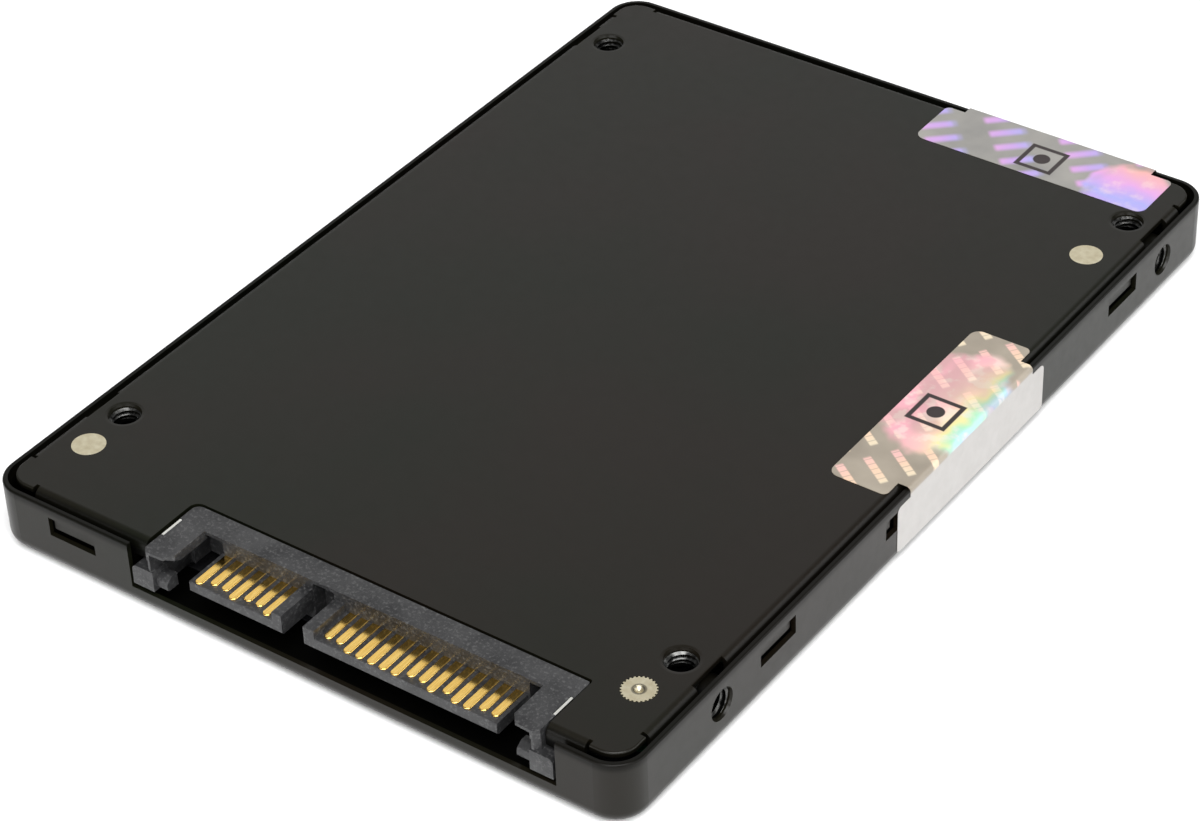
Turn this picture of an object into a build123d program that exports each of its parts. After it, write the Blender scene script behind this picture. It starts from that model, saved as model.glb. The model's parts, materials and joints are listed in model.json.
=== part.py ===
"""2.5-inch solid state drive in a two-piece sheet-metal case, 7 mm high.

Millimetres. The drive rests on its label face at z = 0, with the face that
has the mounting holes on top. The serial-ATA plug is at the -Y end.
"""
import math
import os

from build123d import *

os.makedirs("parts", exist_ok=True)

# ---- overall, 2.5-inch form factor -------------------------------------------
W = 69.85                 # width, X
L = 100.2                 # length, Y
H = 7.0                   # height, Z
LABEL = 0.1               # thickness of the product label under the tray
HOLE_X = 61.72 / 2        # cover mounting holes from the centre line
HOLE_Y = (-36.1, 40.5)    # both the cover holes and the side holes
SIDE_HOLE_Z = 4.0         # side holes, 3 mm under the mounting face
THREAD_R = 1.5            # M3
ENTRY_R = 1.6             # rounded mouth of a mounting hole
COLLAR_R = 2.1            # burred collar around the thread

# ---- tray --------------------------------------------------------------------
T = 0.5                   # sheet thickness of tray and cover
TRAY_R = 3.2              # plan radius of the corners
TRAY_BEND = 1.3           # outer bend at the floor
RIM_Z = 6.8
OPEN_X = (-18.3, 27.95)   # opening for the plug
OPEN_Z = 2.1
WIN_Z = (3.7, 5.7)        # snap windows
WIN_L = 5.4
SIDE_WIN_Y = (-27.55, 32.4)
END_WIN_X = (-25.05, 25.05)

# ---- cover -------------------------------------------------------------------
COVER_X = 34.1            # outer faces of the flanges
COVER_Y = 49.05
COVER_BEND = 0.85
COVER_LOW = 2.2           # lower edge of the flanges
CORNER_X, CORNER_Y = 30.15, 45.1   # ends of the flanges at the corners
SLOT = 0.4                # relief slot between a flange and the corner of the plate
PLATE_X, PLATE_Y = 33.85, 48.85    # outer edges of the plate corners
PLATE_R = 2.3
NOTCH_X = (-17.0, 26.3)   # cut-out over the plug
NOTCH_Y = -42.25
EDGE_NOTCH_X = 33.4       # edge notches beside the side holes
LUG_OUT = 34.55           # snap lugs reach this far out on the sides
LUG_END_OUT = 49.72       # and on the ends
LUG_HALF = 2.35
LUG_Z = (4.35, 5.6)
MID_WIN_Y = (-10.3, -8.3)           # small snap window in each side, and its lug
MID_LUG_Y = (-10.15, -9.1)

# ---- plug --------------------------------------------------------------------
PLUG_X = 4.8              # the plug's centre, off the drive's centre line
BAR_Y = (-45.05, -42.55)
BAR_HALF = 21.4
BAR_LOW = 2.6
BLADE_FRONT = -49.4
BLADE_Z = (3.92, 5.15)
KEY_TOP = 6.0
PITCH = 1.27
SIGNAL_X0 = PLUG_X - 15.875
POWER_X0 = SIGNAL_X0 + 6 * PITCH + 6.35
SIGNAL_LONG = (0, 3, 6)
POWER_LONG = (2, 3, 4, 5, 6, 9, 11, 12)
CONTACT_W = 0.84
TAIL_END = -41.0          # rear end of the contacts' solder feet
SIGNAL_W = 10.41          # blade widths, and the gap between the two blades
POWER_W = 20.57
BLADE_GAP = 2.41
KEY_W = (1.06, 1.18)      # widths of the key ribs

# ---- board -------------------------------------------------------------------
BOARD_Z = (3.2, 4.2)
BOARD_X = 32.3
BOARD_Y = (-44.2, 37.0)
PLAIN_AT = ((-30.6, -41.3), (30.3, 33.4))
KNURL_AT = (30.05, -41.05)
STANDOFFS = (*PLAIN_AT, KNURL_AT)
SCREW_R = 0.8
HEAD_R = 1.6
STANDOFF_R = 2.1
SCREW_HEAD_R = 1.75
TEETH = 26                # round the knurled head


def block(x0, x1, y0, y1, z0, z1, mode=Mode.ADD):
    """Box given by its limits."""
    with Locations(((x0 + x1) / 2, (y0 + y1) / 2, (z0 + z1) / 2)):
        Box(x1 - x0, y1 - y0, z1 - z0, mode=mode)


def slab(half_x, half_y, radius, z0, z1, mode=Mode.ADD):
    """Rounded rectangle centred on the drive, between two heights."""
    with BuildSketch(Plane.XY.offset(z0)) as outline:
        RectangleRounded(2 * half_x, 2 * half_y, radius)
    extrude(outline.sketch, amount=z1 - z0, mode=mode)


def edges_at(part, z):
    """Edges of a part that lie wholly at one height."""
    return part.edges().filter_by(lambda e: abs(e.bounding_box().min.Z - z) < 1e-4
                                  and abs(e.bounding_box().max.Z - z) < 1e-4)


def round_upright(part, x, y, radius):
    """Round the vertical edge nearest to a point."""
    edge = part.edges().filter_by(Axis.Z).sort_by(lambda e: math.dist((e.center().X, e.center().Y),
                                                                      (x, y)))[0]
    fillet(edge, radius)


def upright(x, y, radius, z0, z1, mode=Mode.ADD):
    """Vertical cylinder."""
    with Locations((x, y, (z0 + z1) / 2)):
        Cylinder(radius, z1 - z0, mode=mode)


def cross(side, y, radius, depth0, depth1, mode=Mode.ADD):
    """Cylinder along X at a side hole, between two depths under the wall."""
    x = side * (W / 2 - (depth0 + depth1) / 2)
    with Locations(Location((x, y, SIDE_HOLE_Z), (0, 90, 0))):
        Cylinder(radius, depth1 - depth0, mode=mode)


def write(name, builder):
    """Label a finished part and save it under its own name."""
    builder.part.label = name
    export_step(builder.part, f"parts/{name}.step")


# ---- case --------------------------------------------------------------------
with BuildPart() as case_tray:
    slab(W / 2, L / 2, TRAY_R, LABEL, RIM_Z)
    fillet(edges_at(case_tray, LABEL), TRAY_BEND)
    fillet(edges_at(case_tray, RIM_Z), 0.22)
    with BuildPart(mode=Mode.PRIVATE) as hollow:
        slab(W / 2 - T, L / 2 - T, TRAY_R - T, LABEL + T, H)
        fillet(edges_at(hollow, LABEL + T), TRAY_BEND - T)
    add(hollow.part, mode=Mode.SUBTRACT)
    # burred collars of the side holes, drawn inwards
    for side in (-1, 1):
        for y in HOLE_Y:
            cross(side, y, COLLAR_R, T - 0.1, 1.8)
            cross(side, y, THREAD_R, -0.1, 2.0, Mode.SUBTRACT)
            with Locations(Location((side * (W / 2 - 0.12), y, SIDE_HOLE_Z), (0, side * 90, 0))):
                Cone(THREAD_R, ENTRY_R, 0.26, mode=Mode.SUBTRACT)
    # opening for the plug
    block(*OPEN_X, -L / 2 - 1, -L / 2 + T + 1.2, OPEN_Z, H + 1, Mode.SUBTRACT)
    # snap windows
    for side in (-1, 1):
        for y in SIDE_WIN_Y:
            block(side * W / 2 - 0.7, side * W / 2 + 0.7, y - WIN_L / 2, y + WIN_L / 2, *WIN_Z,
                  Mode.SUBTRACT)
        block(side * W / 2 - 0.7, side * W / 2 + 0.7, *MID_WIN_Y, *WIN_Z, Mode.SUBTRACT)
    for x in END_WIN_X:
        for end in (-1, 1):
            if end < 0 and x > 0:
                continue
            block(x - WIN_L / 2, x + WIN_L / 2, end * L / 2 - 0.7, end * L / 2 + 0.7, *WIN_Z,
                  Mode.SUBTRACT)
write("case_tray", case_tray)

with BuildPart() as base_cover:
    slab(COVER_X, COVER_Y, 0.9, COVER_LOW, H)
    fillet(edges_at(base_cover, H), COVER_BEND)
    with BuildPart(mode=Mode.PRIVATE) as room:
        slab(COVER_X - T, COVER_Y - T, 0.4, COVER_LOW - 1, H - T)
        fillet(edges_at(room, H - T), COVER_BEND - T)
    add(room.part, mode=Mode.SUBTRACT)
    # the flanges stop short of the corners; the plate ends there in an arc
    for sx in (-1, 1):
        for sy in (-1, 1):
            def both(x0, x1, y0, y1, z0, z1, mode=Mode.SUBTRACT):
                block(*sorted((sx * x0, sx * x1)), *sorted((sy * y0, sy * y1)), z0, z1, mode)

            both(CORNER_X, 40, CORNER_Y, 55, 0, H + 1)
            with BuildPart(mode=Mode.PRIVATE) as plate_corner:
                with BuildSketch(Plane.XY.offset(H - T)) as outline:
                    with Locations((sx * (PLATE_X - 3), sy * (PLATE_Y - 3))):
                        RectangleRounded(6, 6, PLATE_R)
                extrude(outline.sketch, amount=T)
                fillet(edges_at(plate_corner, H), 0.2)
                both(COVER_X - COVER_BEND, 40, 40, CORNER_Y + SLOT, 0, H + 1)
                both(20, CORNER_X + SLOT, COVER_Y - COVER_BEND, 55, 0, H + 1)
            add(plate_corner.part)
    # cut-out over the plug, and room for its feet under the front flange
    with BuildPart(mode=Mode.PRIVATE) as plug_room:
        block(*NOTCH_X, -60, NOTCH_Y, 0, H + 1)
        round_upright(plug_room, NOTCH_X[0], NOTCH_Y, 1.0)
        round_upright(plug_room, NOTCH_X[1], NOTCH_Y, 0.3)
    add(plug_room.part, mode=Mode.SUBTRACT)
    block(OPEN_X[0] - 0.2, OPEN_X[1] + 0.2, -60, -44, 0, 5.1, Mode.SUBTRACT)
    for y in HOLE_Y:
        for side in (-1, 1):
            # edge notches that clear the collars of the side holes
            block(*sorted((side * EDGE_NOTCH_X, side * 36)), y - 2.2, y + 2.2, 0, H + 1,
                  Mode.SUBTRACT)
            # burred mounting holes
            upright(side * HOLE_X, y, COLLAR_R, 5.0, H - T)
            upright(side * HOLE_X, y, THREAD_R, 4.0, H + 1, Mode.SUBTRACT)
            with Locations((side * HOLE_X, y, H - 0.12)):
                Cone(THREAD_R, ENTRY_R, 0.26, mode=Mode.SUBTRACT)
    for x, y in STANDOFFS:
        upright(x, y, HEAD_R, 6, H + 1, Mode.SUBTRACT)
    # snap lugs
    for side in (-1, 1):
        for y in SIDE_WIN_Y:
            block(*sorted((side * (COVER_X - 0.1), side * LUG_OUT)), y - LUG_HALF, y + LUG_HALF,
                  *LUG_Z)
        block(*sorted((side * (COVER_X - 0.1), side * LUG_OUT)), *MID_LUG_Y, *LUG_Z)
    for x in END_WIN_X:
        for end in (-1, 1):
            if end < 0 and x > 0:
                continue
            block(x - LUG_HALF, x + LUG_HALF,
                  *sorted((end * (COVER_Y - 0.1), end * LUG_END_OUT)), *LUG_Z)
write("base_cover", base_cover)

# ---- standoffs and screws ----------------------------------------------------
with BuildPart() as plain_standoffs:
    for x, y in PLAIN_AT:
        upright(x, y, HEAD_R, H - T, H)
        upright(x, y, STANDOFF_R, BOARD_Z[1], H - T)
        upright(x, y, SCREW_R, BOARD_Z[1], H - T, Mode.SUBTRACT)
write("plain_standoffs", plain_standoffs)

with BuildPart() as knurled_standoff:
    x0, y0 = KNURL_AT
    with BuildSketch(Plane.XY.offset(H - T)):
        rim = []
        for k in range(TEETH):
            for part_turn, r in ((-0.30, 1.47), (-0.17, 1.60), (0.17, 1.60), (0.30, 1.47)):
                a = 2 * math.pi * (k + part_turn) / TEETH
                rim.append((x0 + r * math.cos(a), y0 + r * math.sin(a)))
        with BuildLine():
            Polyline(*rim, close=True)
        make_face()
    extrude(amount=T)
    upright(x0, y0, STANDOFF_R, BOARD_Z[1], H - T)
    upright(x0, y0, SCREW_R, BOARD_Z[1], H - T, Mode.SUBTRACT)
    with Locations((x0, y0, H - 0.13)):
        Cone(0.12, 0.52, 0.27, mode=Mode.SUBTRACT)
write("knurled_standoff", knurled_standoff)

with BuildPart() as board_screws:
    for x, y in STANDOFFS:
        upright(x, y, SCREW_R, BOARD_Z[0] - 0.2, BOARD_Z[1] + 1.9)
        upright(x, y, SCREW_HEAD_R, BOARD_Z[0] - 0.9, BOARD_Z[0])
        block(x - 0.9, x + 0.9, y - 0.18, y + 0.18, BOARD_Z[0] - 1, BOARD_Z[0] - 0.5, Mode.SUBTRACT)
        block(x - 0.18, x + 0.18, y - 0.9, y + 0.9, BOARD_Z[0] - 1, BOARD_Z[0] - 0.5, Mode.SUBTRACT)
write("board_screws", board_screws)

# ---- plug --------------------------------------------------------------------
def contact_strip(x, tip, width=CONTACT_W, mode=Mode.ADD):
    """One contact: round-tipped blade strip, bend behind the bar, foot on the board."""
    top = BLADE_Z[1] + 0.09
    nose = tip + width / 2
    with BuildSketch(Plane.YZ.offset(x - width / 2)) as profile:
        with BuildLine():
            Polyline((nose, top), (-42.05, top), (-41.75, BOARD_Z[1] + 0.2),
                     (TAIL_END, BOARD_Z[1] + 0.2), (TAIL_END, BOARD_Z[1]), (-41.95, BOARD_Z[1]),
                     (-42.25, top - 0.2), (nose, top - 0.2), close=True)
        make_face()
    extrude(profile.sketch, amount=width, mode=mode)
    upright(x, nose, width / 2, top - 0.2, top, mode)


def tip_of(long):
    """Front end of a contact; the long ones mate first."""
    return BLADE_FRONT + (0.08 if long else 0.65)


def contact_list(first, count, long_ones):
    """Centre and front end of each contact in a row."""
    return [(first + PITCH * k, tip_of(k in long_ones)) for k in range(count)]


SIGNAL = contact_list(SIGNAL_X0, 7, SIGNAL_LONG)
POWER = contact_list(POWER_X0, 15, POWER_LONG)

with BuildPart() as connector_housing:
    block(PLUG_X - BAR_HALF, PLUG_X + BAR_HALF, *BAR_Y, BAR_LOW, H)
    round_upright(connector_housing, PLUG_X - BAR_HALF, BAR_Y[1], 0.8)
    round_upright(connector_housing, PLUG_X + BAR_HALF, BAR_Y[1], 0.2)
    # pockets in its front, beside and between the blades, under a thin roof
    for x0, x1, deep in ((PLUG_X - 20.0, -11.6, 2.1), (-1.45, 0.9, 1.5),
                         (21.75, PLUG_X + 20.0, 1.5)):
        block(x0, x1, BAR_Y[0], BAR_Y[0] + deep, BAR_LOW, H - 0.35, Mode.SUBTRACT)
    # two blades, each with a key rib next to the gap between them
    left = PLUG_X - (SIGNAL_W + BLADE_GAP + POWER_W) / 2
    signal_end = left + SIGNAL_W
    power_start = signal_end + BLADE_GAP
    for x0, x1, k0, k1 in ((left, signal_end, signal_end - KEY_W[0], signal_end),
                           (power_start, power_start + POWER_W,
                            power_start, power_start + KEY_W[1])):
        with BuildSketch(Plane.YZ.offset(x0)):
            with BuildLine():
                Polyline((BAR_Y[0] + 0.2, BLADE_Z[0]), (BAR_Y[0] + 0.2, BLADE_Z[1]),
                         (BLADE_FRONT + 0.06, BLADE_Z[1]), (BLADE_FRONT, BLADE_Z[1] - 0.1),
                         (BLADE_FRONT, BLADE_Z[0] + 0.2), (BLADE_FRONT + 0.2, BLADE_Z[0]),
                         close=True)
            make_face()
        extrude(amount=x1 - x0)
        block(k0, k1, BLADE_FRONT, BAR_Y[0] + 0.2, BLADE_Z[0] + 0.2, KEY_TOP)
    # guide posts: I-shaped in section
    for s, foot_tip in ((-1, 19.25), (1, 18.8)):
        def px(u):
            return PLUG_X + s * u

        def span(u0, u1):
            return sorted((px(u0), px(u1)))

        # top flange, chamfered at both front corners
        with BuildSketch(Plane.XY.offset(6.05)):
            with BuildLine():
                Polyline((px(18.4), BAR_Y[0] + 0.2), (px(18.4), -49.1), (px(19.1), -49.95),
                         (px(20.9), -50.05), (px(21.35), -49.55), (px(21.35), BAR_Y[0] + 0.2),
                         close=True)
            make_face()
        extrude(amount=H - 6.05)
        # lead-in under its front edge
        with BuildSketch(Plane.YZ.offset(span(18.0, 20.6)[0])):
            with BuildLine():
                Polyline((-50.4, 5.5), (-48.2, 6.0), (-48.3, 6.06), (-49.7, 6.7), (-50.4, 6.7),
                         close=True)
            make_face()
        extrude(amount=2.6, mode=Mode.SUBTRACT)
        # web
        with BuildSketch(Plane.XY.offset(BAR_LOW)):
            with BuildLine():
                Polyline((px(20.65), BAR_Y[0] + 0.2), (px(20.65), -49.95), (px(20.9), -49.95),
                         (px(21.35), -49.45), (px(21.35), BAR_Y[0] + 0.2), close=True)
            make_face()
        extrude(amount=6.5 - BAR_LOW)
        block(*span(20.0, 21.3), BAR_Y[0], BAR_Y[0] + 0.6, BAR_LOW, H)
        # foot: outer block under the web, its outer top corner rounded
        with BuildPart(mode=Mode.PRIVATE) as foot:
            block(*span(20.45, 22.85), -50.05, BAR_Y[0] + 0.2, BAR_LOW, 4.75)
            fillet(foot.edges().filter_by(Axis.Y).sort_by(lambda e: -s * e.center().X)[:2]
                   .sort_by(Axis.Z)[-1], 0.6)
        add(foot.part)
        # low inner foot, bevelled, with an open pocket behind it
        with BuildSketch(Plane.YZ.offset(span(foot_tip, 20.7)[0])):
            with BuildLine():
                Polyline((-48.2, BAR_LOW + 0.2), (-48.2, 4.15), (-48.9, 4.15), (-49.5, 3.75),
                         (-49.6, 3.5), (-49.6, 3.0), (-49.4, BAR_LOW + 0.2), close=True)
            make_face()
        extrude(amount=20.7 - foot_tip)
    for x, tip in SIGNAL + POWER:
        contact_strip(x, tip, mode=Mode.SUBTRACT)
    # slots for the hold-down clips
    for s in (-1, 1):
        block(*sorted((PLUG_X + s * 21.05, PLUG_X + s * 22)), -47.45, -44.85, 5.2, H + 1,
              Mode.SUBTRACT)
write("connector_housing", connector_housing)

for name, contacts in (("signal_contacts", SIGNAL), ("power_contacts", POWER)):
    with BuildPart() as group:
        for x, tip in contacts:
            contact_strip(x, tip)
    write(name, group)

with BuildPart() as hold_down_clips:
    for s in (-1, 1):
        for u0, u1, y0, y1, z0, z1 in (
                (21.1, 21.35, -47.4, -44.9, 5.25, H - 0.02),    # plate in the post
                (21.1, 25.0, -45.7, -44.9, 5.25, 5.5),          # across to the board
                (24.2, 25.0, -45.7, -43.2, 5.25, 5.5),
                (24.2, 25.0, -43.45, -43.2, BOARD_Z[1], 5.5),
                (24.2, 25.0, -44.15, -43.2, BOARD_Z[1], BOARD_Z[1] + 0.2)):
            block(*sorted((PLUG_X + s * u0, PLUG_X + s * u1)), y0, y1, z0, z1)
write("hold_down_clips", hold_down_clips)

# ---- circuit board -----------------------------------------------------------
with BuildPart() as circuit_board:
    block(-BOARD_X, BOARD_X, *BOARD_Y, *BOARD_Z)
    fillet(circuit_board.edges().filter_by(Axis.Z), 1.0)
    # straight front edge behind the plug, and clearance for the mounting screws
    block(-19.0, 28.6, BOARD_Y[0] - 1, -42.4, 0, H, Mode.SUBTRACT)
    for side in (-1, 1):
        with BuildSketch(Plane.XY.offset(BOARD_Z[0])) as bay:
            with Locations((side * 31.0, HOLE_Y[0] + 1.0)):
                RectangleRounded(6.6, 8.0, 1.5)
            with Locations((side * 33.0, HOLE_Y[0] + 1.0)):
                Rectangle(4.0, 8.0)
        extrude(bay.sketch, amount=BOARD_Z[1] - BOARD_Z[0], mode=Mode.SUBTRACT)
    for x, y in STANDOFFS:
        upright(x, y, 1.0, 0, H, Mode.SUBTRACT)
write("circuit_board", circuit_board)

UP, DOWN = BOARD_Z[1], BOARD_Z[0]
CEILING = H - T
CHIP_AT = (4.0, -27.5)
NAND_AT = [(x, y) for y in (-5.0, 17.0) for x in (-21.0, -5.0, 11.0)]
COIL_AT = [(23.5, y) for y in (-24.0, -16.0, -8.0)]
REGULATOR_AT = [(29.6, y) for y in (-24.0, -16.0, -8.0)]
TANTALUM_AT = [(-27.0 + 9.0 * k, 32.4) for k in range(6)]
CAPACITOR_AT = [(x, -34.0 + 2.0 * k) for x in (-6.6, 14.6) for k in range(8)] \
    + [(x, 4.0 + 2.4 * k) for x in (20.0, 23.0, 26.0, 29.0) for k in range(5)]
RESISTOR_AT = [(-10.0 + 2.0 * k, -17.0) for k in range(14)]


def package(x, y, length, width, z0, z1):
    """Box on the board, centred on a point."""
    block(x - length / 2, x + length / 2, y - width / 2, y + width / 2, z0, z1)


with BuildPart() as controller_chip:
    package(*CHIP_AT, 17, 17, UP, UP + 0.5)
    package(*CHIP_AT, 14.4, 14.4, UP + 0.5, UP + 1.3)
    chamfer(controller_chip.faces().sort_by(Axis.Z)[-1].edges(), 0.3)
    with Locations((CHIP_AT[0] - 5.8, CHIP_AT[1] + 5.8, UP + 1.3)):
        Cylinder(0.5, 0.1, mode=Mode.SUBTRACT)
write("controller_chip", controller_chip)

with BuildPart() as dram_chip:
    package(-14.5, -27.5, 9, 13, UP, UP + 1.0)
    with Locations((-18.0, -22.0, UP + 1.0)):
        Cylinder(0.4, 0.1, mode=Mode.SUBTRACT)
write("dram_chip", dram_chip)

with BuildPart() as nand_upper:
    for x, y in NAND_AT:
        package(x, y, 12, 18, UP, UP + 1.2)
        with Locations((x - 5.0, y + 8.0, UP + 1.2)):
            Cylinder(0.4, 0.1, mode=Mode.SUBTRACT)
write("nand_upper", nand_upper)

with BuildPart() as nand_lower:
    for x, y in NAND_AT:
        package(x, y, 12, 18, DOWN - 1.2, DOWN)
        with Locations((x - 5.0, y - 8.0, DOWN - 1.2)):
            Cylinder(0.4, 0.1, mode=Mode.SUBTRACT)
write("nand_lower", nand_lower)

with BuildPart() as controller_pad:
    package(*CHIP_AT, 13, 13, UP + 1.3, CEILING)
write("controller_pad", controller_pad)

with BuildPart() as memory_pads:
    for x, y in NAND_AT:
        package(x, y, 9, 15, UP + 1.2, CEILING)
write("memory_pads", memory_pads)

with BuildPart() as power_inductors:
    for x, y in COIL_AT:
        with BuildSketch(Plane.XY.offset(UP)):
            with Locations((x, y)):
                RectangleRounded(4.2, 4.2, 0.5)
        extrude(amount=1.9)
    chamfer(power_inductors.faces().filter_by(lambda f: f.center().Z > UP + 1.89).edges(), 0.2)
write("power_inductors", power_inductors)

with BuildPart() as regulator_chips:
    for x, y in REGULATOR_AT:
        package(x, y, 3.2, 3.2, UP, UP + 0.85)
        with Locations((x - 1.1, y + 1.1, UP + 0.85)):
            Cylinder(0.2, 0.1, mode=Mode.SUBTRACT)
write("regulator_chips", regulator_chips)

with BuildPart() as holdup_capacitors:
    for x, y in TANTALUM_AT:
        package(x, y, 7.3, 4.3, UP, UP + 1.0)
        package(x, y, 7.0, 4.0, UP + 1.0, UP + 1.9)
write("holdup_capacitors", holdup_capacitors)

with BuildPart() as clock_crystal:
    package(-1.0, -39.0, 3.2, 2.5, UP, UP + 0.3)
    package(-1.0, -39.0, 2.9, 2.2, UP + 0.3, UP + 0.75)
write("clock_crystal", clock_crystal)

# two-terminal parts, 1.6 x 0.8 mm, long side along X
CAP_L, CAP_W, CAP_H, CAP_END = 1.6, 0.8, 0.8, 0.35
RES_H = 0.5
with BuildPart() as ceramic_capacitors:
    for x, y in CAPACITOR_AT:
        package(x, y, CAP_L - 2 * CAP_END, CAP_W, UP, UP + CAP_H)
write("ceramic_capacitors", ceramic_capacitors)

with BuildPart() as chip_resistors:
    for x, y in RESISTOR_AT:
        package(x, y, CAP_L - 2 * CAP_END, CAP_W, UP, UP + RES_H)
write("chip_resistors", chip_resistors)

with BuildPart() as chip_terminals:
    for places, height in ((CAPACITOR_AT, CAP_H), (RESISTOR_AT, RES_H)):
        for x, y in places:
            for side in (-1, 1):
                package(x + side * (CAP_L - CAP_END) / 2, y, CAP_END, CAP_W, UP, UP + height)
write("chip_terminals", chip_terminals)

with BuildPart() as insulating_film:
    block(-31.0, 31.0, -44.0, 40.0, LABEL + T, LABEL + T + 0.1)
    fillet(insulating_film.edges().filter_by(Axis.Z), 2.0)
write("insulating_film", insulating_film)

# ---- seals and label ---------------------------------------------------------
FILM = 0.08
NECK = 2.1               # the neck is this much narrower at each end
FOLD = 0.4


def folded_profile(plane, start, wall):
    """Thin strip that lies on the top face and folds down a wall."""
    with BuildSketch(plane) as profile:
        with BuildLine():
            a = Line((start, H), (wall - FOLD, H))
            b = CenterArc((wall - FOLD, H - FOLD), FOLD, 0, 90)
            c = Line((wall, H - FOLD), (wall, 0.9))
            d = Line((wall, 0.9), (wall + FILM, 0.9))
            e = Line((wall + FILM, 0.9), (wall + FILM, H - FOLD))
            f = CenterArc((wall - FOLD, H - FOLD), FOLD + FILM, 0, 90)
            g = Line((wall - FOLD, H + FILM), (start, H + FILM))
            h = Line((start, H + FILM), (start, H))
        make_face()
    return profile.sketch


SIDE_SEAL_Y = (-8.4, 17.2)
with BuildPart() as side_seal:
    extrude(folded_profile(Plane.XZ.offset(-SIDE_SEAL_Y[1]), 27.6, W / 2),
            amount=SIDE_SEAL_Y[1] - SIDE_SEAL_Y[0])
    for y0, y1 in ((SIDE_SEAL_Y[0] - 1, SIDE_SEAL_Y[0] + NECK),
                   (SIDE_SEAL_Y[1] - NECK, SIDE_SEAL_Y[1] + 1)):
        block(33.6, W / 2 + 1, y0, y1, 6.0, H + 1, Mode.SUBTRACT)
write("side_seal", side_seal)

REAR_SEAL_X = (5.6, 31.4)
with BuildPart() as rear_seal:
    extrude(folded_profile(Plane.YZ.offset(REAR_SEAL_X[0]), 42.4, L / 2),
            amount=REAR_SEAL_X[1] - REAR_SEAL_X[0])
    for x0, x1 in ((REAR_SEAL_X[0] - 1, REAR_SEAL_X[0] + NECK),
                   (REAR_SEAL_X[1] - NECK - 0.4, REAR_SEAL_X[1] + 1)):
        block(x0, x1, 48.7, L / 2 + 1, 6.0, H + 1, Mode.SUBTRACT)
write("rear_seal", rear_seal)

with BuildPart() as product_label:
    slab(31.0, 45.0, 2.0, 0, LABEL)
write("product_label", product_label)
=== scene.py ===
import json
import math

import bmesh
import bpy
from mathutils import Matrix, Vector


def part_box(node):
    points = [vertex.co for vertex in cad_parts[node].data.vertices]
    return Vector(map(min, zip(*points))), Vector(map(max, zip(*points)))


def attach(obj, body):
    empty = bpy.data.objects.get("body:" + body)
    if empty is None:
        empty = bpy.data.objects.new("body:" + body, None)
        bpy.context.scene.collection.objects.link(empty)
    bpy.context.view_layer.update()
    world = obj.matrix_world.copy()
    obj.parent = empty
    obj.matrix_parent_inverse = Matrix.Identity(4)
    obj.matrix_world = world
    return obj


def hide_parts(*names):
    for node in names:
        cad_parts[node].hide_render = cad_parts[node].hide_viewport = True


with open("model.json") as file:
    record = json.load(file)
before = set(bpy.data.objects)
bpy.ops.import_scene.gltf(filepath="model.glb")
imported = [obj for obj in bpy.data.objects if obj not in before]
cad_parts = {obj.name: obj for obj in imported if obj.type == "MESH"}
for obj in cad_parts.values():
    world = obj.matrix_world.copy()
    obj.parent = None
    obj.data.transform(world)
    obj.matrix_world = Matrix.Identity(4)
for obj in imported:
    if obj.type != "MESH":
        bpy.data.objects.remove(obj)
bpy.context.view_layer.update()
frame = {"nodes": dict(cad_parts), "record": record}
NODES = frame["nodes"]
MM = 0.001


def node_box(name):
    """Lowest and highest corner of a CAD node, in millimetres."""
    low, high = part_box(name)
    return Vector(low) / MM, Vector(high) / MM


COVER_LOW, COVER_HIGH = node_box("base_cover")
TRAY_LOW, TRAY_HIGH = node_box("case_tray")
KNURL_LOW, KNURL_HIGH = node_box("knurled_standoff")
TOP = COVER_HIGH.z                      # mounting face
HOLE_X = 30.86                          # mounting holes, from the centre line
HOLE_MID_Y, HOLE_HALF_Y = 2.2, 38.3     # the holes' mid-point and half distance along Y
SIDE_HOLE_Z = TOP - 3.0                 # side holes, 3 mm under the mounting face
CASE_ROUND = 3.2                        # upright corners of the tray


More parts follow.
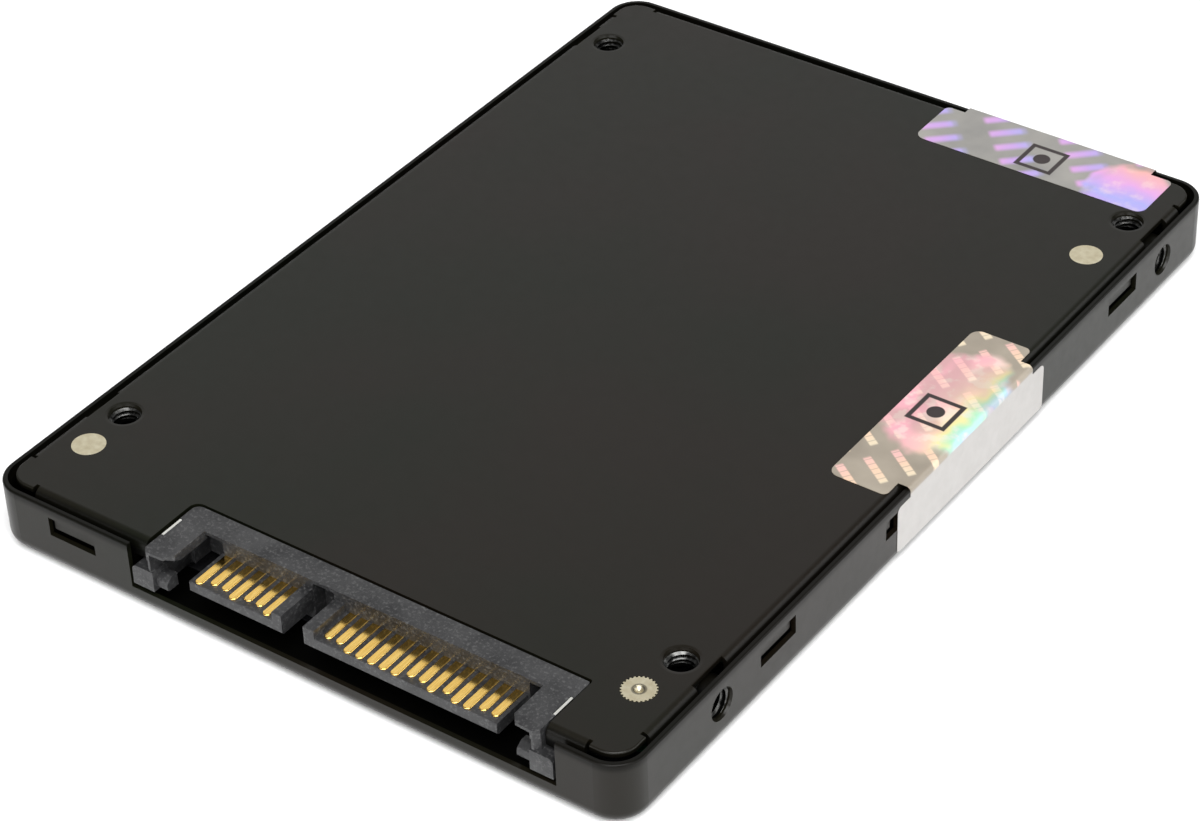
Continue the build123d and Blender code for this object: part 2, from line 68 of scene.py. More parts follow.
# ---- shader helpers ------------------------------------------------------------
class Shader:
    """Small builder for one material's nodes. Lengths are in millimetres."""

    def __init__(self, name):
        self.mat = bpy.data.materials.new(name)
        self.mat.use_nodes = True
        self.tree = self.mat.node_tree
        self.tree.nodes.clear()
        self.out = self.node("ShaderNodeOutputMaterial")
        self.bsdf = self.node("ShaderNodeBsdfPrincipled")
        self.link(self.bsdf.outputs[0], self.out.inputs["Surface"])
        self.coord = self.node("ShaderNodeTexCoord").outputs["Object"]

    def node(self, kind, **settings):
        n = self.tree.nodes.new(kind)
        for key, value in settings.items():
            setattr(n, key, value)
        return n

    def link(self, a, b):
        self.tree.links.new(a, b)

    def put(self, value, socket):
        """Link a socket, or set a constant, whichever the value is."""
        if isinstance(value, bpy.types.NodeSocket):
            self.link(value, socket)
        elif socket.type == "VALUE":
            socket.default_value = value
        elif isinstance(value, (int, float)):
            socket.default_value = (value, value, value, 1.0)
        else:
            socket.default_value = (*value, 1.0)

    def set(self, **values):
        for key, value in values.items():
            self.bsdf.inputs[key.replace("_", " ")].default_value = value

    def drive(self, socket, value):
        self.link(value, self.bsdf.inputs[socket])

    def mapped(self, stretch=(1, 1, 1), turn_deg=0.0):
        m = self.node("ShaderNodeMapping")
        m.inputs["Scale"].default_value = stretch
        m.inputs["Rotation"].default_value = (0, 0, math.radians(turn_deg))
        self.link(self.coord, m.inputs["Vector"])
        return m.outputs[0]

    def noise(self, size, detail=3.0, rough=0.5, stretch=(1, 1, 1), turn_deg=0.0):
        """Noise whose largest features are about size across."""
        n = self.node("ShaderNodeTexNoise")
        n.inputs["Scale"].default_value = 1.0 / (size * MM)
        n.inputs["Detail"].default_value = detail
        n.inputs["Roughness"].default_value = rough
        self.link(self.mapped(stretch, turn_deg), n.inputs["Vector"])
        return n.outputs["Fac"]

    def cells(self, size, feature="F1", stretch=(1, 1, 1), turn_deg=0.0):
        """Voronoi cells about size across: (distance to the cell's point, random colour)."""
        n = self.node("ShaderNodeTexVoronoi", feature=feature)
        n.inputs["Scale"].default_value = 1.0 / (size * MM)
        self.link(self.mapped(stretch, turn_deg), n.inputs["Vector"])
        return n.outputs["Distance"], n.outputs.get("Color")

    def ramp(self, fac, *stops, interpolation="LINEAR"):
        r = self.node("ShaderNodeValToRGB")
        r.color_ramp.interpolation = interpolation
        els = r.color_ramp.elements
        while len(els) < len(stops):
            els.new(0.5)
        for el, (pos, col) in zip(els, stops):
            el.position = pos
            el.color = (*col, 1.0) if not isinstance(col, (int, float)) else (col, col, col, 1.0)
        self.link(fac, r.inputs["Fac"])
        return r.outputs["Color"]

    def mix(self, fac, a, b, blend="MIX"):
        m = self.node("ShaderNodeMix", data_type="RGBA", blend_type=blend)
        self.put(fac, m.inputs["Factor"])
        colours = [s for s in m.inputs if s.type == "RGBA"]
        self.put(a, colours[0])
        self.put(b, colours[1])
        return next(s for s in m.outputs if s.type == "RGBA")

    def math(self, op, a, b=0.0, clamp=False):
        m = self.node("ShaderNodeMath", operation=op, use_clamp=clamp)
        self.put(a, m.inputs[0])
        self.put(b, m.inputs[1])
        return m.outputs[0]

    def flip(self, value):
        """One minus a value."""
        return self.math("SUBTRACT", 1.0, value)

    def span(self, value, start, end):
        """0 before start, 1 after end, smooth between."""
        m = self.node("ShaderNodeMapRange", interpolation_type="SMOOTHSTEP")
        self.put(value, m.inputs["Value"])
        m.inputs["From Min"].default_value = start
        m.inputs["From Max"].default_value = end
        return m.outputs["Result"]

    def xyz(self):
        """Object coordinates in millimetres, as three sockets."""
        s = self.node("ShaderNodeSeparateXYZ")
        self.link(self.coord, s.inputs[0])
        return [self.math("MULTIPLY", s.outputs[k], 1 / MM) for k in range(3)]

    def distance(self, dx, dy):
        return self.math("SQRT", self.math("ADD", self.math("MULTIPLY", dx, dx),
                                           self.math("MULTIPLY", dy, dy)))

    def bump(self, height, depth, after=None):
        b = self.node("ShaderNodeBump")
        b.inputs["Strength"].default_value = 1.0
        b.inputs["Distance"].default_value = depth * MM
        self.link(height, b.inputs["Height"])
        if after is not None:
            self.link(after, b.inputs["Normal"])
        self.link(b.outputs[0], self.bsdf.inputs["Normal"])
        return b.outputs[0]


# ---- materials -----------------------------------------------------------------
def coated_sheet():
    """Satin black coating with fine orange peel, a faint warm mottle, a few specks of dust, and painted
    shade inside the case and along its rim.
    """
    s = Shader("coated_sheet")
    mottle = s.noise(24.0, 3.0)
    base = s.ramp(mottle, (0.35, (0.0042, 0.0048, 0.0022)), (0.65, (0.0064, 0.0046, 0.0027)))
    spot, pick = s.cells(4.2)
    rare = s.span(pick, 0.80, 0.82)
    dust = s.math("MULTIPLY", s.flip(s.span(spot, 0.010, 0.022)), rare)
    hair, choice = s.cells(9.0, stretch=(1, 0.12, 1), turn_deg=35)
    scratch = s.math("MULTIPLY", s.flip(s.span(hair, 0.004, 0.007)),
                     s.span(choice, 0.86, 0.88))
    marks = s.math("MAXIMUM", dust, s.math("MULTIPLY", scratch, 0.35))
    # painted shade: the base colour and specular are turned down inside the case, where little light
    # reaches
    x, y, z = s.xyz()
    wide = s.math("ABSOLUTE", x)
    past_x = s.math("MAXIMUM", s.math("SUBTRACT", wide, TRAY_HIGH.x - CASE_ROUND), 0.0)
    past_y = s.math("MAXIMUM", s.math("SUBTRACT", s.math("ABSOLUTE", y), TRAY_HIGH.y - CASE_ROUND), 0.0)
    reach = s.distance(past_x, past_y)
    outer = s.span(reach, CASE_ROUND - 0.52, CASE_ROUND - 0.45)
    outer = s.math("MAXIMUM", outer, s.span(z, TOP - 1.9, TOP - 0.9))
    outer = s.math("MAXIMUM", outer, s.flip(s.span(z, 0.2, 0.4)))
    # painted shade also on the tray's sheared rim and on the cover's edge inside it, standing in for the
    # dark band these edges show
    rim = s.math("MULTIPLY", s.span(reach, CASE_ROUND - 0.75, CASE_ROUND - 0.65),
                 s.span(z, TOP - 1.2, TOP - 0.5))
    edge = s.math("MULTIPLY", s.math("SUBTRACT", s.span(reach, CASE_ROUND - 1.9, CASE_ROUND - 1.6),
                                     s.span(reach, CASE_ROUND - 0.72, CASE_ROUND - 0.65)),
                  s.flip(s.span(z, TOP - 0.30, TOP - 0.03)))
    rim = s.math("MAXIMUM", rim, edge)
    unshaded_coat = s.math("SUBTRACT", outer, s.math("MULTIPLY", rim, 0.65), clamp=True)
    # painted shade: the near-black colour, and the lower specular below, darken the inside of the case and
    # the rims; dust and scratches lighten the rest
    s.drive("Base Color", s.mix(unshaded_coat, (0.0016, 0.0016, 0.0014), s.mix(marks, base, (0.22, 0.21, 0.20))))
    s.drive("Roughness", s.ramp(s.noise(1.2, 4.0), (0.3, 0.30), (0.7, 0.36)))
    s.drive("Specular IOR Level", s.ramp(unshaded_coat, (0.0, 0.05), (1.0, 0.24)))
    # the sheet is drawn in slightly round each mounting hole
    dx = s.math("SUBTRACT", wide, HOLE_X)
    dy = s.math("SUBTRACT", s.math("ABSOLUTE", s.math("SUBTRACT", y, HOLE_MID_Y)), HOLE_HALF_Y)
    dish = s.span(s.distance(dx, dy), 1.50, 1.90)
    around = s.bump(dish, 0.05)
    s.bump(s.noise(0.22, 2.0), 0.0022, after=around)
    return s.mat


def plug_plastic():
    """Glass-filled black moulding: pale fibre specks and a dull, slightly uneven skin."""
    s = Shader("plug_plastic")
    fine = s.noise(0.32, 5.0, 0.75)
    cloud = s.noise(2.6, 3.0)
    skin = s.ramp(cloud, (0.3, (0.012, 0.012, 0.013)), (0.7, (0.032, 0.032, 0.033)))
    specks = s.span(fine, 0.50, 0.66)
    s.drive("Base Color", s.mix(s.math("MULTIPLY", specks, 0.6), skin, (0.095, 0.095, 0.095)))
    s.drive("Roughness", s.ramp(s.noise(0.5, 3.0), (0.3, 0.30), (0.7, 0.44)))
    s.set(Specular_IOR_Level=0.38)
    s.bump(s.noise(0.16, 3.0), 0.006)
    return s.mat


def gold_contact():
    """Gold plating with faint wipe marks along each contact."""
    s = Shader("gold_contact")
    wipe = s.noise(0.5, 3.0, stretch=(5, 0.35, 1))
    s.drive("Base Color", s.ramp(wipe, (0.3, (0.86, 0.53, 0.12)), (0.7, (1.0, 0.70, 0.22))))
    s.drive("Roughness", s.ramp(s.noise(0.25, 3.0, stretch=(3, 0.4, 1)), (0.3, 0.13), (0.7, 0.22)))
    s.set(Metallic=1.0)
    s.bump(s.noise(0.20, 2.0, stretch=(3, 0.5, 1)), 0.004)
    return s.mat


def nickel_steel():
    """Nickel-plated heads; the knurled one has a ring of painted shade round the dimple in its middle,
    where a groove would fall dark.
    """
    s = Shader("nickel_steel")
    patch = s.noise(0.7, 4.0)
    plating = s.ramp(patch, (0.3, (0.66, 0.585, 0.40)), (0.7, (0.80, 0.74, 0.55)))
    x, y, _ = s.xyz()
    middle = (KNURL_LOW + KNURL_HIGH) / 2
    r = s.distance(s.math("SUBTRACT", x, middle.x), s.math("SUBTRACT", y, middle.y))
    # painted shade: a dark ring round the dimple stands in for the shade of a groove that is not modelled
    ring = s.math("MULTIPLY", s.span(r, 0.34, 0.44), s.flip(s.span(r, 0.60, 0.74)))
    s.drive("Base Color", s.mix(s.math("MULTIPLY", ring, 0.75), plating, (0.10, 0.09, 0.07)))
    s.drive("Roughness", s.ramp(s.noise(0.3, 4.0), (0.3, 0.34), (0.7, 0.46)))
    s.set(Metallic=1.0)
    s.bump(s.noise(0.12, 3.0), 0.003)
    return s.mat


def bare_thread():
    """Dark bare metal of the thread ridges."""
    s = Shader("bare_thread")
    patch = s.noise(0.4, 3.0)
    s.drive("Base Color", s.ramp(patch, (0.3, (0.02, 0.02, 0.02)), (0.7, (0.15, 0.15, 0.145))))
    s.drive("Roughness", s.ramp(patch, (0.3, 0.20), (0.7, 0.32)))
    s.set(Metallic=1.0)
    return s.mat


def clip_metal():
    """Bright tin-plated spring metal."""
    s = Shader("clip_metal")
    patch = s.noise(0.4, 3.0)
    s.drive("Base Color", s.ramp(patch, (0.3, (0.80, 0.79, 0.72)), (0.7, (0.92, 0.92, 0.88))))
    s.drive("Roughness", s.ramp(patch, (0.3, 0.22), (0.7, 0.36)))
    s.set(Metallic=1.0)
    return s.mat


def plain_finish(name, dark, light, rough, metal=0.0, grain=0.5, depth=0.004):
    """Two-tone grain with its own gloss variation and fine bump."""
    s = Shader(name)
    patch = s.noise(grain, 4.0)
    s.drive("Base Color", s.ramp(patch, (0.3, dark), (0.7, light)))
    s.drive("Roughness", s.ramp(patch, (0.3, rough[0]), (0.7, rough[1])))
    s.set(Metallic=metal)
    s.bump(s.noise(grain * 0.3, 2.0), depth)
    return s.mat


def solder_mask():
    """Green board: mask over faintly raised tracks."""
    s = Shader("board")
    lane, _ = s.cells(1.6, feature="DISTANCE_TO_EDGE", stretch=(1, 0.35, 1))
    tracks = s.flip(s.span(lane, 0.03, 0.09))
    s.drive("Base Color", s.mix(tracks, (0.006, 0.050, 0.022), (0.014, 0.095, 0.040)))
    s.drive("Roughness", s.ramp(s.noise(0.6), (0.3, 0.28), (0.7, 0.40)))
    s.bump(tracks, 0.02)
    return s.mat


# pastel inks of the hologram film
PINK, ROSE, PEACH, LEMON = (0.64, 0.30, 0.35), (0.66, 0.38, 0.36), (0.68, 0.46, 0.33), (0.64, 0.58, 0.26)
MINT, SKY, LILAC, BLUE = (0.32, 0.58, 0.38), (0.32, 0.55, 0.60), (0.43, 0.27, 0.60), (0.30, 0.30, 0.62)
MAUVE, SALMON = (0.55, 0.28, 0.55), (0.65, 0.33, 0.29)
# painted highlight: pale colour for glints on the hologram patch
PAINTED_GLINT = (0.66, 0.56, 0.50)
MARK_INK = (0.016, 0.009, 0.009)


def seal_film(name, rows, patch, mark, dash_inks, patch_inks, silver):
    """Silver hologram film with rows of pastel dashes, one large iridescent patch and a
    plain square mark. Its wall panel is plain pale film.

    rows: (direction in degrees, pitch, dash step, row offset, dash part of a step, softness,
           blocks that a dash is cut into)
    patch: (centre, half sizes, axis along which its colour runs)
    """
    s = Shader(name)
    x, y, z = s.xyz()
    turn_deg, pitch, length, offset, part, soft, blocks = rows
    turn = math.radians(turn_deg)

    def along(angle):
        return s.math("ADD", s.math("MULTIPLY", x, math.cos(angle)),
                      s.math("MULTIPLY", y, math.sin(angle)))

    def window(value, start, end, edge):
        return s.math("MULTIPLY", s.span(value, start, start + edge),
                      s.flip(s.span(value, end - edge, end)))

    def scaled(value, middle, half):
        return s.math("DIVIDE", s.math("SUBTRACT", value, middle), half)

    wander = s.math("SUBTRACT", s.noise(3.0, 2.0), 0.5)
    row = s.math("DIVIDE", along(turn + math.pi / 2), pitch)
    in_row = s.math("FRACT", row)
    in_step = s.math("FRACT", s.math("ADD", s.math("DIVIDE", along(turn), length),
                                     s.math("MULTIPLY", s.math("FLOOR", row), offset)))
    dash = s.math("MULTIPLY", window(in_row, 0.14, 0.84, soft), window(in_step, 0.02, part, soft * 0.3))
    block = s.math("FRACT", s.math("MULTIPLY", s.math("DIVIDE", in_step, part), blocks))
    dash = s.math("MULTIPLY", dash, s.flip(s.math("MULTIPLY", s.span(block, 0.78, 0.88), 0.55)))
    hue = s.math("ADD", s.math("DIVIDE", in_step, part), s.math("MULTIPLY", wander, 0.7), clamp=True)
    grey = s.ramp(s.noise(5.0, 3.0), (0.3, silver[0]), (0.7, silver[1]))
    film = s.mix(s.math("MULTIPLY", dash, 0.9), grey, s.ramp(hue, *dash_inks))

    # the large patch: an uneven ellipse that leaves some film bare inside
    (cx, cy), (rx, ry), axis = patch
    ex, ey = scaled(x, cx, rx), scaled(y, cy, ry)
    inside = s.math("ADD", s.distance(ex, ey), s.math("MULTIPLY", wander, 0.6))
    bare = s.span(s.noise(4.2, 1.0, stretch=(1, 0.6, 1), turn_deg=-30), 0.56, 0.66)
    cover = s.math("MULTIPLY", s.flip(s.span(inside, 0.92, 1.14)),
                   s.flip(s.math("MULTIPLY", bare, 0.45)))
    sweep = s.math("ADD", s.math("MULTIPLY", ex if axis == "x" else ey, 0.5),
                   s.math("ADD", 0.5, s.math("MULTIPLY", wander, 0.35)))
    # painted highlight: pale glints scattered over the patch
    painted_glint_mask = s.math("MULTIPLY", s.span(s.noise(1.5, 3.0), 0.48, 0.50 + soft), 0.50)
    film = s.mix(cover, film, s.mix(painted_glint_mask, s.ramp(sweep, *patch_inks), PAINTED_GLINT))

    # plain mark: a square frame round a dot
    mx, my = (s.math("ABSOLUTE", s.math("SUBTRACT", v, m)) for v, m in zip((x, y), mark))
    ring = window(s.math("MAXIMUM", mx, my), 1.55, 2.15, 0.12)
    dot = s.flip(s.span(s.distance(mx, my), 0.80, 0.92))
    film = s.mix(s.math("MAXIMUM", ring, dot), film, MARK_INK)

    # pale wall panel below the fold
    wall = s.flip(s.span(z, TOP - 0.75, TOP - 0.45))
    pale = s.ramp(s.noise(2.0, 3.0), (0.3, (0.345, 0.332, 0.320)), (0.7, (0.375, 0.362, 0.350)))
    s.drive("Base Color", s.mix(wall, film, pale))
    s.drive("Roughness", s.ramp(s.noise(0.8, 3.0), (0.3, 0.30), (0.7, 0.42)))
    s.bump(s.noise(1.6, 3.0), 0.010)
    return s.mat


def product_label():
    """Plain satin label: pale field, grey border line and one darker band, no text."""
    s = Shader("label")
    x, y, _ = s.xyz()
    _, corner = node_box("product_label")
    edge = s.math("MAXIMUM", s.math("SUBTRACT", s.math("ABSOLUTE", x), corner.x),
                  s.math("SUBTRACT", s.math("ABSOLUTE", y), corner.y))
    line = s.math("MULTIPLY", s.span(edge, -2.1, -2.0), s.flip(s.span(edge, -1.8, -1.7)))
    band = s.math("MULTIPLY", s.span(y, 26.0, 26.1), s.flip(s.span(edge, -3.1, -3.0)))
    paper = s.ramp(s.noise(6.0, 4.0), (0.3, (0.60, 0.61, 0.62)), (0.7, (0.66, 0.67, 0.68)))
    inked = s.mix(s.math("MAXIMUM", line, band), paper, (0.10, 0.12, 0.15))
    s.drive("Base Color", inked)
    s.drive("Roughness", s.ramp(s.noise(1.0, 3.0), (0.3, 0.38), (0.7, 0.50)))
    s.bump(s.noise(0.3, 3.0), 0.002)
    return s.mat


RECORD_SLOT = {row["node"]: row["material_slot"] for row in frame["record"]["subparts"]}
FINISH = {
    "coated_sheet": coated_sheet(),
    "plug_plastic": plug_plastic(),
    "gold_contact": gold_contact(),
    "nickel_steel": nickel_steel(),
    "clip_metal": clip_metal(),
    "black_screw": plain_finish("black_screw", (0.16, 0.16, 0.17), (0.26, 0.26, 0.27), (0.3, 0.4), 1.0),
    "board": solder_mask(),
    "chip_black": plain_finish("chip_black", (0.010, 0.010, 0.011), (0.018, 0.018, 0.018),
                               (0.45, 0.6), grain=0.3),
    "coil_grey": plain_finish("coil_grey", (0.05, 0.05, 0.055), (0.11, 0.11, 0.12), (0.5, 0.7), grain=0.2),
    "tantalum": plain_finish("tantalum", (0.48, 0.29, 0.04), (0.60, 0.38, 0.06), (0.35, 0.5), grain=0.6),
    "capacitor_tan": plain_finish("capacitor_tan", (0.30, 0.20, 0.12), (0.40, 0.28, 0.18),
                                  (0.4, 0.55), grain=0.2),
    "resistor_black": plain_finish("resistor_black", (0.012, 0.012, 0.014), (0.03, 0.03, 0.03),
                                   (0.3, 0.4), grain=0.3),
    "tin": plain_finish("tin", (0.62, 0.62, 0.61), (0.76, 0.76, 0.75), (0.25, 0.4), 1.0, grain=0.2),
    "can_metal": plain_finish("can_metal", (0.55, 0.53, 0.48), (0.68, 0.66, 0.60),
                              (0.25, 0.4), 1.0, grain=0.4),
    "thermal_pad": plain_finish("thermal_pad", (0.26, 0.33, 0.40), (0.33, 0.41, 0.48),
                                (0.6, 0.8), grain=0.8, depth=0.02),
    "film": plain_finish("film", (0.008, 0.008, 0.009), (0.016, 0.016, 0.018), (0.15, 0.25), grain=3.0),
    "label": product_label(),
    "seal": seal_film("seal", (-34.6, 1.35, 10.6, 0.5, 0.42, 0.12, 6), ((31.3, 6.4), (5.0, 7.4), "x"),
                      (31.1, 4.3), ((0.1, ROSE), (0.5, PEACH), (0.9, (0.63, 0.53, 0.38))),
                      ((0.0, PINK), (0.35, PINK), (0.55, ROSE), (0.66, PEACH), (0.73, LEMON),
                       (0.79, MINT), (0.85, SKY), (0.92, BLUE), (1.0, LILAC)),
                      ((0.22, 0.19, 0.15), (0.31, 0.27, 0.215))),
}
REAR_FILM = seal_film("seal_rear", (42.0, 2.55, 6.6, 0.0, 0.68, 0.30, 1), ((28.4, 45.0), (4.2, 4.2), "y"),
                      (18.5, 45.5), ((0.05, MAUVE), (0.5, LILAC), (1.0, BLUE)),
                      ((0.0, LILAC), (0.35, BLUE), (0.6, MAUVE), (1.0, SALMON)),
                      ((0.19, 0.185, 0.175), (0.26, 0.25, 0.23)))
THREAD = bare_thread()
for name, obj in NODES.items():
    for place in obj.material_slots:
        place.material = FINISH[RECORD_SLOT[name]]


# ---- mesh helpers --------------------------------------------------------------
def finish_piece(obj, material, replaced=()):
    """Material, body, and the CAD nodes that the piece stands for, which are hidden."""
    obj.data.materials.clear()
    obj.data.materials.append(material)
    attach(obj, "root")
    if replaced:
        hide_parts(*replaced)
    return obj


def new_object(name, bm, smooth_deg=None):
    mesh = bpy.data.meshes.new(name)
    bm.to_mesh(mesh)
    bm.free()
    if smooth_deg is not None:
        mesh.shade_smooth()
        mesh.set_sharp_from_angle(angle=math.radians(smooth_deg))
    obj = bpy.data.objects.new(name, mesh)
    bpy.context.collection.objects.link(obj)
    return obj


def rounded_copy(node, name, radius, corner_deg=30, segments=2):
    """Copy of a CAD node with its hard edges rounded to a small radius in millimetres."""
    bm = bmesh.new()
    bm.from_mesh(NODES[node].data)
    bmesh.ops.remove_doubles(bm, verts=bm.verts, dist=0.002 * MM)
    bmesh.ops.dissolve_limit(bm, angle_limit=math.radians(0.6), verts=bm.verts, edges=bm.edges,
                             use_dissolve_boundaries=False, delimit=set())
    bmesh.ops.recalc_face_normals(bm, faces=bm.faces)
    obj = new_object(name, bm, corner_deg)
    bevel = obj.modifiers.new("rounded edges", "BEVEL")
    bevel.width = radius * MM
    bevel.segments = segments
    bevel.limit_method = "ANGLE"
    bevel.angle_limit = math.radians(corner_deg)
    bevel.use_clamp_overlap = True
    bevel.harden_normals = True
    return finish_piece(obj, FINISH[RECORD_SLOT[node]], (node,))


# ---- threads -------------------------------------------------------------------
MAJOR, MINOR, LEAD = 1.5, 1.24, 0.5     # M3
ROOT = MAJOR + 0.02                     # the ridge is sunk a little into the bore's wall
ROOT_HALF, CREST_HALF = 0.20, 0.035     # half widths of the ridge along the axis
FIRST_TURN = 0.42                       # how far down the ridge starts
RUN_OUT = 0.35                          # part of a turn over which it fades at each end
MOUTH = 0.02                            # the matrix's origin, under the surface
COVER_DEPTH, SIDE_DEPTH = 1.25, 1.6


def thread(bm, place, depth, steps=56):
    """Helical ridge of an M3 thread, wound down -Z from the matrix's origin."""
    turns = depth / LEAD
    count = int(turns * steps)
    profile = ((ROOT, ROOT_HALF), (MINOR, CREST_HALF), (MINOR, -CREST_HALF), (ROOT, -ROOT_HALF))
    rings = []
    for k in range(count + 1):
        a = 2 * math.pi * k / steps
        fade = min(1.0, k / (RUN_OUT * steps), (count - k) / (RUN_OUT * steps))
        z = -FIRST_TURN - LEAD * k / steps
        ring = []
        for r, dz in profile:
            r = ROOT - (ROOT - r) * max(fade, 0.02)
            ring.append(bm.verts.new(place @ Vector((r * math.cos(a), r * math.sin(a),
                                                     z + dz * max(fade, 0.1)))))
        rings.append(ring)
    for a, b in zip(rings, rings[1:]):
        for j in range(4):
            bm.faces.new((a[j], a[(j + 1) % 4], b[(j + 1) % 4], b[j]))
    bm.faces.new(rings[0])
    bm.faces.new(rings[-1][::-1])


def threads(name, places, depth):
    bm = bmesh.new()
    for place in places:
        thread(bm, place, depth)
    bmesh.ops.scale(bm, vec=(MM, MM, MM), verts=bm.verts)
    bmesh.ops.recalc_face_normals(bm, faces=bm.faces)
    obj = new_object(name, bm, 40)
    return finish_piece(obj, THREAD)


hole_rows = [HOLE_MID_Y + end * HOLE_HALF_Y for end in (-1, 1)]
threads("cover_threads", [Matrix.Translation((side * HOLE_X, y, TOP - MOUTH))
                          for side in (-1, 1) for y in hole_rows], COVER_DEPTH)
threads("side_threads", [Matrix.Translation((side * (TRAY_HIGH.x - MOUTH), y, SIDE_HOLE_Z))
                         @ Matrix.Rotation(side * math.pi / 2, 4, "Y")
                         for side in (-1, 1) for y in hole_rows], SIDE_DEPTH)

# ---- plug ----------------------------------------------------------------------
rounded_copy("connector_housing", "plug_housing", 0.06)
rounded_copy("signal_contacts", "signal_blades", 0.09, segments=3)
rounded_copy("power_contacts", "power_blades", 0.09, segments=3)


# ---- seals ---------------------------------------------------------------------
FILM_T = 0.05                           # thickness of the film as shown
SOLID_T = 0.08                          # and of its solid in the frame
LIFT = 0.004                            # gap between the film and the sheet
NECK_IN, CORNER_ROUND, FOLD_R = 2.1, 1.0, 0.42
NECK_BEFORE, NECK_AFTER = 0.85, 0.55    # how far the neck runs past each end of the bend
NECK_ROUND, END_ROUND = 0.6, 0.35


def arc_inset(distance, radius):
    """How far a rounded corner draws the outline in, at a distance from the end."""
    if distance >= radius:
        return 0.0
    return radius - math.sqrt(max(0.0, radius * radius - (radius - distance) ** 2))


def arc_rows(radius, step_deg):
    """Distances from the end of a rounded corner at which rows follow its arc."""
    return {radius * (1 - math.cos(math.radians(t))) for t in range(0, 91, step_deg)}


def seal(name, node, across_axis, material, extra_neck):
    """Film that lies on the cover, narrows to a neck, folds over the edge and
    widens again on the wall. Rows run along the fold."""
    low, high = node_box(node)
    k = 0 if across_axis == "x" else 1          # axis across the fold
    m = 1 - k
    inner, wall = low[k], high[k] - SOLID_T
    start, end = low[m], high[m]
    bottom = low.z + 0.1
    flat = wall - FOLD_R - inner
    bend = FOLD_R * math.pi / 2
    drop = TOP - FOLD_R - bottom
    total = flat + bend + drop
    neck_a, neck_b = flat - NECK_BEFORE, flat + bend + NECK_AFTER

    def place(s):
        """Point and outward normal of the film at a distance s along it."""
        if s <= flat:
            return inner + s, TOP + LIFT, 0.0, 1.0
        if s <= flat + bend:
            a = (s - flat) / FOLD_R
            return (wall - FOLD_R + (FOLD_R + LIFT) * math.sin(a),
                    TOP - FOLD_R + (FOLD_R + LIFT) * math.cos(a),
                    math.sin(a), math.cos(a))
        return wall + LIFT, TOP - FOLD_R - (s - flat - bend), 1.0, 0.0

    def inset(s, neck):
        """Outline's inset at each end of the row at s."""
        round_end = max(arc_inset(s, CORNER_ROUND), arc_inset(total - s, END_ROUND))
        if neck_a <= s <= neck_b:
            return neck
        to_neck = neck_a - s if s < neck_a else s - neck_b
        return max(round_end, arc_inset(to_neck, NECK_ROUND))

    marks = {0.0, total, flat, flat + bend, neck_a - 1e-3, neck_a, neck_b, neck_b + 1e-3}
    marks |= arc_rows(CORNER_ROUND, 10)
    marks |= {total - d for d in arc_rows(END_ROUND, 15)}
    marks |= {neck_a - d for d in arc_rows(NECK_ROUND, 10)}
    marks |= {neck_b + d for d in arc_rows(NECK_ROUND, 10)}
    marks |= {flat + bend * t / 8 for t in range(9)}
    marks |= {total * t / 24 for t in range(25)}
    rows = sorted(s for s in marks if 0 <= s <= total)
    rows = [s for i, s in enumerate(rows) if i == 0 or s - rows[i - 1] > 4e-4]
    columns = 40
    bm = bmesh.new()
    sheets = []
    for lift in (0.0, FILM_T):
        grid = []
        for s in rows:
            c, z, nc, nz = place(s)
            a, b = start + inset(s, NECK_IN), end - inset(s, NECK_IN + extra_neck)
            line = []
            for j in range(columns + 1):
                p = [0.0, 0.0, z + nz * lift]
                p[k] = c + nc * lift
                p[m] = a + (b - a) * j / columns
                line.append(bm.verts.new(Vector(p) * MM))
            grid.append(line)
        sheets.append(grid)
    under, over = sheets
    last = len(rows) - 1
    for i in range(last):
        for j in range(columns):
            for g in (under, over):
                bm.faces.new((g[i][j], g[i + 1][j], g[i + 1][j + 1], g[i][j + 1]))
        for j in (0, columns):
            bm.faces.new((under[i][j], under[i + 1][j], over[i + 1][j], over[i][j]))
    for j in range(columns):
        for i in (0, last):
            bm.faces.new((under[i][j], under[i][j + 1], over[i][j + 1], over[i][j]))
    bmesh.ops.recalc_face_normals(bm, faces=bm.faces)
    obj = new_object(name, bm, 50)
    return finish_piece(obj, material, (node,))


seal("side_seal_film", "side_seal", "x", FINISH["seal"], 0.0)
seal("rear_seal_film", "rear_seal", "y", REAR_FILM, 0.4)


# ---- stage ---------------------------------------------------------------------
def floor_mesh():
    bm = bmesh.new()
    bmesh.ops.create_grid(bm, x_segments=2, y_segments=2, size=3.0)
    ob = new_object("floor", bm)
    s = Shader("floor_paper")
    s.drive("Base Color", s.ramp(s.noise(40.0, 2.0), (0.3, (0.88, 0.88, 0.88)), (0.7, (0.92, 0.92, 0.92))))
    s.set(Roughness=0.9)
    ob.data.materials.append(s.mat)
    ob.location.z = -0.0001


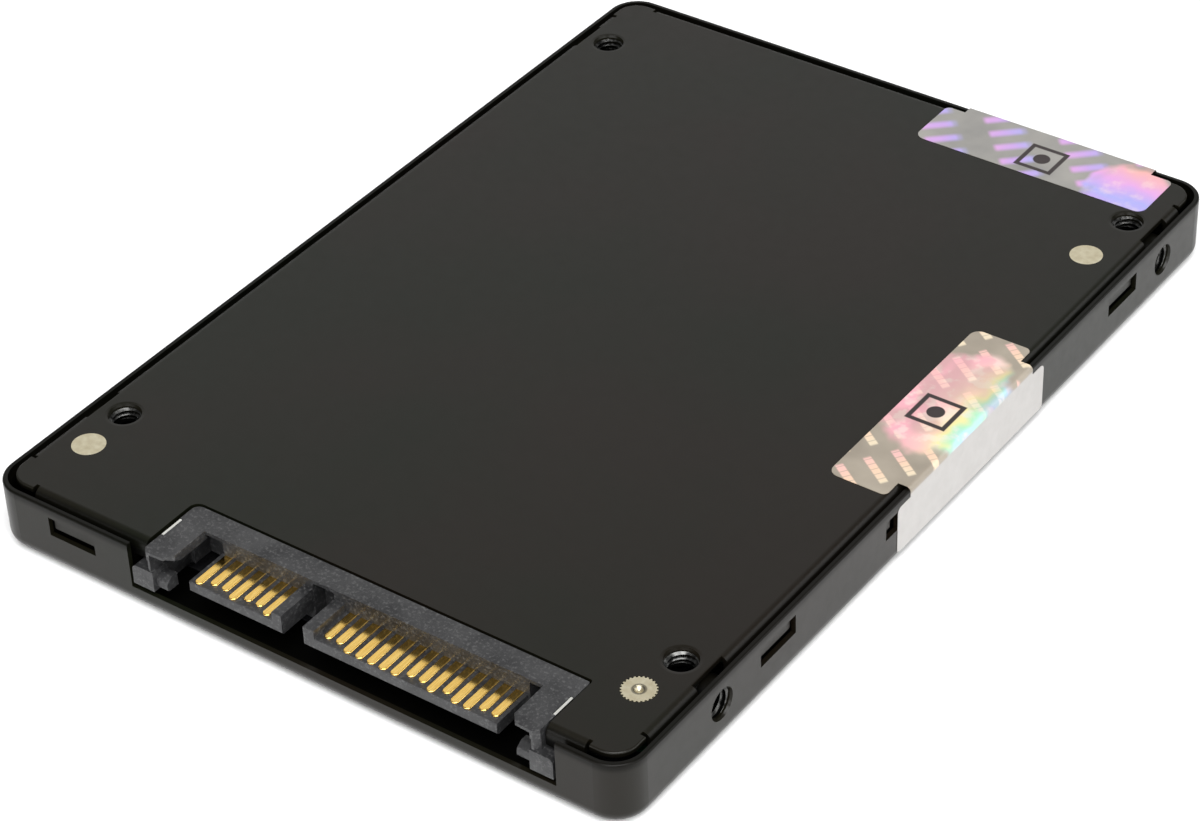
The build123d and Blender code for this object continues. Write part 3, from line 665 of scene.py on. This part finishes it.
def area_light(name, size, where, aim, power):
    data = bpy.data.lights.new(name, "AREA")
    data.shape = "RECTANGLE"
    data.size, data.size_y = size
    data.energy = power
    ob = bpy.data.objects.new(name, data)
    bpy.context.collection.objects.link(ob)
    ob.location = where
    ob.rotation_mode = "QUATERNION"
    ob.rotation_quaternion = (Vector(aim) - Vector(where)).to_track_quat("-Z", "Y")


floor_mesh()
area_light("key_softbox", (0.9, 0.9), (0.35, -0.45, 1.0), (0, 0, 0), 18.0)
area_light("front_fill", (1.2, 0.35), (0.05, -1.0, 0.30), (0, -0.05, 0), 6.0)
area_light("right_fill", (1.2, 0.35), (1.0, -0.10, 0.30), (0.03, 0, 0), 5.0)
area_light("rear_right_softbox", (0.60, 0.45), (0.62, 0.55, 0.45), (0.05, 0.03, 0), 2.2)
area_light("rear_left_panel", (2.0, 1.2), (-0.95, 1.25, 0.95), (0, 0, 0), 5.2)

world = bpy.data.worlds.new("studio")
bpy.context.scene.world = world
world.use_nodes = True
world.node_tree.nodes["Background"].inputs["Color"].default_value = (1, 1, 1, 1)
world.node_tree.nodes["Background"].inputs["Strength"].default_value = 0.22
bpy.context.scene.view_settings.view_transform = "Standard"

# ---- camera --------------------------------------------------------------------
AZIMUTH, ELEVATION, ROLL = 36.91, 37.34, 2.41
DISTANCE, ASIDE, DOWN = 334.62, -2.783, 2.343      # mm
a, e, r = (math.radians(v) for v in (AZIMUTH, ELEVATION, ROLL))
back = Vector((math.sin(a) * math.cos(e), -math.cos(a) * math.cos(e), math.sin(e)))
level = (-back).cross(Vector((0, 0, 1))).normalized()
below = (-back).cross(level)
right = level * math.cos(r) + below * math.sin(r)
down = below * math.cos(r) - level * math.sin(r)
cam = bpy.data.cameras.new("camera")
cam.lens, cam.sensor_width = 105.57, 36.0
cam.clip_start, cam.clip_end = 0.01, 10.0
camera = bpy.data.objects.new("camera", cam)
bpy.context.collection.objects.link(camera)
place = (back * DISTANCE + right * ASIDE + down * DOWN) * MM
camera.matrix_world = Matrix.Translation(place) @ Matrix((right, -down, back)).transposed().to_4x4()
bpy.context.scene.camera = camera
